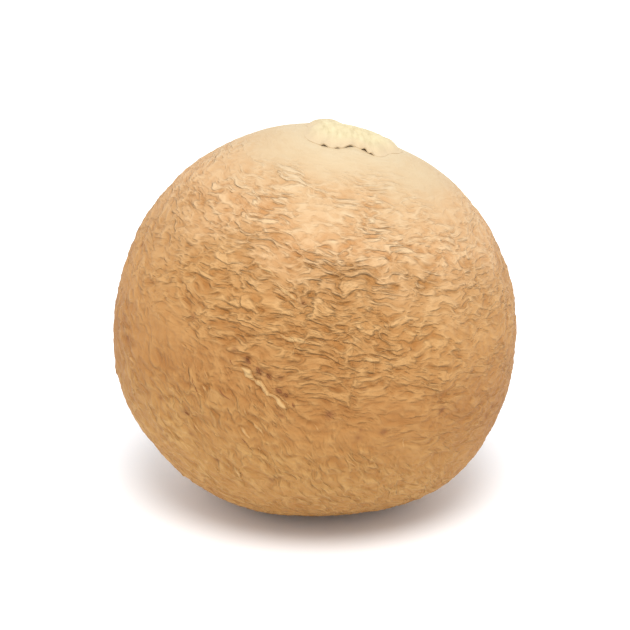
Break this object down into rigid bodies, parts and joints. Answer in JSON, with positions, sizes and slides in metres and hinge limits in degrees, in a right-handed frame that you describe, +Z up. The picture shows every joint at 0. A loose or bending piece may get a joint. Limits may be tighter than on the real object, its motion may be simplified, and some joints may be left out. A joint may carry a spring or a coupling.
{
  "type": "betel nut",
  "caption": "whole dried areca seed without its husk: a round, finely wrinkled tan nut with a pale stem scar on top, standing on a small flat spot",
  "frame": {"origin": "the middle of the small flat spot that the nut rests on, under the middle of its box", "axes": "+Z is up, +X is the nut's right seen from the front, and +Y points to its back; the axis through the stem scar leans 11 degrees to +X and 7 degrees to +Y"},
  "size_m": [0.028, 0.0283, 0.0271],
  "materials": {
    "dried_seed_coat": "dry, matt and finely wrinkled"
  },
  "bodies": {
    "root": {"nut": "dried_seed_coat"}
  },
  "joints": []
}
